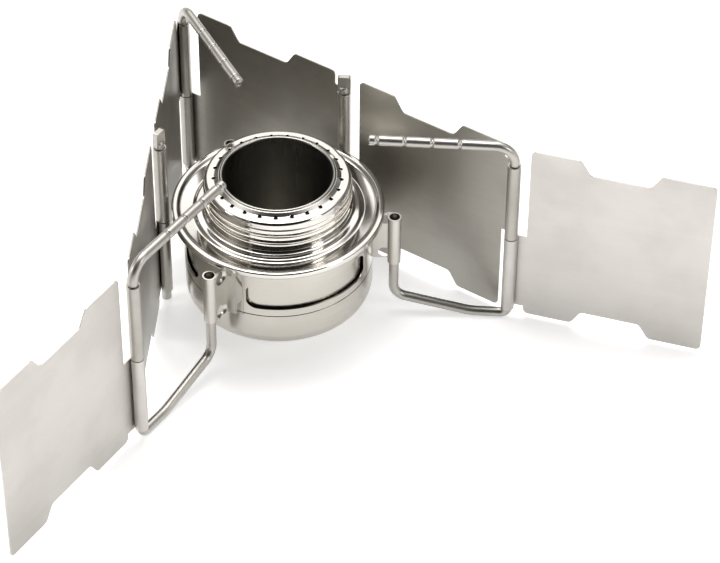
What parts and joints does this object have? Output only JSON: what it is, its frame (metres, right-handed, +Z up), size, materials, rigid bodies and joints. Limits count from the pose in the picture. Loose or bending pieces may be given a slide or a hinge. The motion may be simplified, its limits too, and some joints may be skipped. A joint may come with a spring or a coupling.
{
  "type": "spirit burner stove",
  "caption": "Folding camping stove: open spirit burner in a holder cup, swinging wire legs that carry the pot, and a hinged sheet windscreen.",
  "frame": {"origin": "centre of the holder cup's underside, on the burner's axis", "axes": "+Z up along the burner's bore, +X out along the right leg"},
  "size_m": [0.2253, 0.2024, 0.0796],
  "materials": {
    "polished_stainless": "polished",
    "drawn_stainless": "satin",
    "satin_sheet": "satin",
    "bright_wire": "bright drawn",
    "wick_cotton": "felted"
  },
  "bodies": {
    "holder": {"holder_cup": "drawn_stainless", "leg_bracket_right": "drawn_stainless", "leg_bracket_back": "drawn_stainless", "leg_bracket_front": "drawn_stainless"},
    "burner": {"burner_cup": "polished_stainless", "burner_top": "polished_stainless", "burner_inner_wall": "polished_stainless", "burner_wick": "wick_cotton"},
    "leg_right": {"leg_wire_right": "bright_wire"},
    "leg_back": {"leg_wire_back": "bright_wire"},
    "leg_front": {"leg_wire_front": "bright_wire"},
    "panel_right_end": {"panel_right_end": "satin_sheet"},
    "panel_right_front": {"panel_right_front": "satin_sheet"},
    "panel_right_back": {"panel_right_back": "satin_sheet", "hinge_pin_right": "bright_wire"},
    "panel_left_back": {"panel_left_back": "satin_sheet"},
    "panel_left_front": {"panel_left_front": "satin_sheet", "hinge_pin_left": "bright_wire"},
    "panel_left_end": {"panel_left_end": "satin_sheet"}
  },
  "joints": [
    {"name": "leg_right_swing", "type": "hinge", "parent": "holder", "child": "leg_right", "pos_m": [0.0405, 0, 0], "axis": [0, 0, 1], "range_deg": [0, 110]},
    {"name": "leg_back_swing", "type": "hinge", "parent": "holder", "child": "leg_back", "pos_m": [-0.02025, 0.03507, 0], "axis": [0, 0, 1], "range_deg": [0, 110]},
    {"name": "leg_front_swing", "type": "hinge", "parent": "holder", "child": "leg_front", "pos_m": [-0.02025, -0.03507, 0], "axis": [0, 0, 1], "range_deg": [0, 110]},
    {"name": "panel_right_front_hinge", "type": "hinge", "parent": "leg_right", "child": "panel_right_front", "pos_m": [0.081, 0, 0], "axis": [0, 0, 1], "range_deg": [-110, 0]},
    {"name": "panel_right_back_hinge", "type": "hinge", "parent": "panel_right_front", "child": "panel_right_back", "pos_m": [0.02025, 0.03507, 0], "axis": [0, 0, 1], "range_deg": [0, 110]},
    {"name": "panel_left_back_hinge", "type": "hinge", "parent": "leg_back", "child": "panel_left_back", "pos_m": [-0.0405, 0.07015, 0], "axis": [0, 0, 1], "range_deg": [-110, 0]},
    {"name": "panel_left_front_hinge", "type": "hinge", "parent": "panel_left_back", "child": "panel_left_front", "pos_m": [-0.0405, 0, 0], "axis": [0, 0, 1], "range_deg": [0, 110]},
    {"name": "panel_left_end_hinge", "type": "hinge", "parent": "leg_front", "child": "panel_left_end", "pos_m": [-0.0405, -0.07015, 0], "axis": [0, 0, 1], "range_deg": [-99, 57]},
    {"name": "panel_right_end_hinge", "type": "hinge", "parent": "leg_right", "child": "panel_right_end", "pos_m": [0.081, 0, 0], "axis": [0, 0, 1], "range_deg": [-127, 2]},
    {"name": "burner_lift", "type": "slide", "parent": "holder", "child": "burner", "axis": [0, 0, 1], "range_m": [0, 0.022]}
  ],
  "couplings": [
    {"joint": "leg_back_swing", "follows": "leg_right_swing", "ratio": 1},
    {"joint": "leg_front_swing", "follows": "leg_right_swing", "ratio": 1},
    {"joint": "panel_right_front_hinge", "follows": "leg_right_swing", "ratio": -1},
    {"joint": "panel_right_back_hinge", "follows": "leg_right_swing", "ratio": 1},
    {"joint": "panel_left_back_hinge", "follows": "leg_right_swing", "ratio": -1},
    {"joint": "panel_left_front_hinge", "follows": "leg_right_swing", "ratio": 1}
  ]
}
